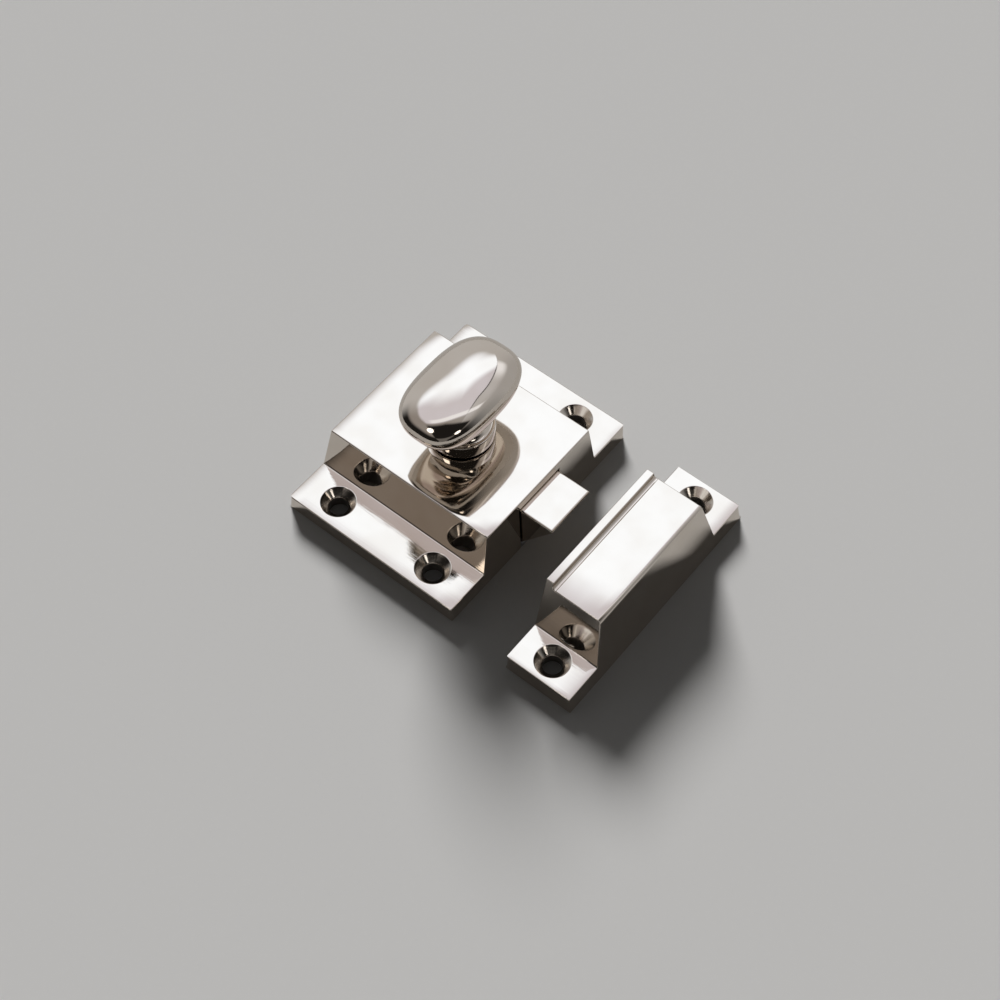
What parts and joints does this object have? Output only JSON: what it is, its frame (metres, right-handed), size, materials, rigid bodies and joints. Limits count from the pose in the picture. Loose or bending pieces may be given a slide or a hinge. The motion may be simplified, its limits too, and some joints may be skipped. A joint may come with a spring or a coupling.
{
  "type": "cabinet catch",
  "caption": "Surface cabinet catch in polished nickel: screw-on case with an oval turn knob that draws in a bevelled spring bolt, and a separate hollow strike with a raised lip.",
  "frame": {"origin": "middle of the case's flat back face, where it meets the door", "axes": "+X along the bolt towards the strike, +Y along the length of the case, +Z away from the door"},
  "size_m": [0.0664, 0.0523, 0.0305],
  "materials": {
    "polished_nickel": "polished",
    "brass": "rolled",
    "steel": "bright drawn"
  },
  "bodies": {
    "case": {"case": "polished_nickel", "back_plate": "steel", "back_plate_screws": "steel", "bolt_spring": "steel", "strike": "polished_nickel"},
    "knob": {"knob": "polished_nickel", "spindle": "steel", "thrust_washer": "brass", "crank": "steel", "crank_pin": "steel"},
    "bolt": {"bolt": "polished_nickel"}
  },
  "joints": [
    {"name": "knob_turn", "type": "hinge", "parent": "case", "child": "knob", "pos_m": [0.001, 0, 0.0137], "axis": [0, 0, 1], "range_deg": [0, 70]},
    {"name": "bolt_slide", "type": "slide", "parent": "case", "child": "bolt", "axis": [-1, 0, 0], "range_m": [0, 0.0066], "stiffness_N_per_m": 300, "springref_m": -0.004, "deforming": ["bolt_spring"]}
  ],
  "couplings": [
    {"joint": "knob_turn", "follows": "bolt_slide", "rad_per_m": 185.11}
  ]
}
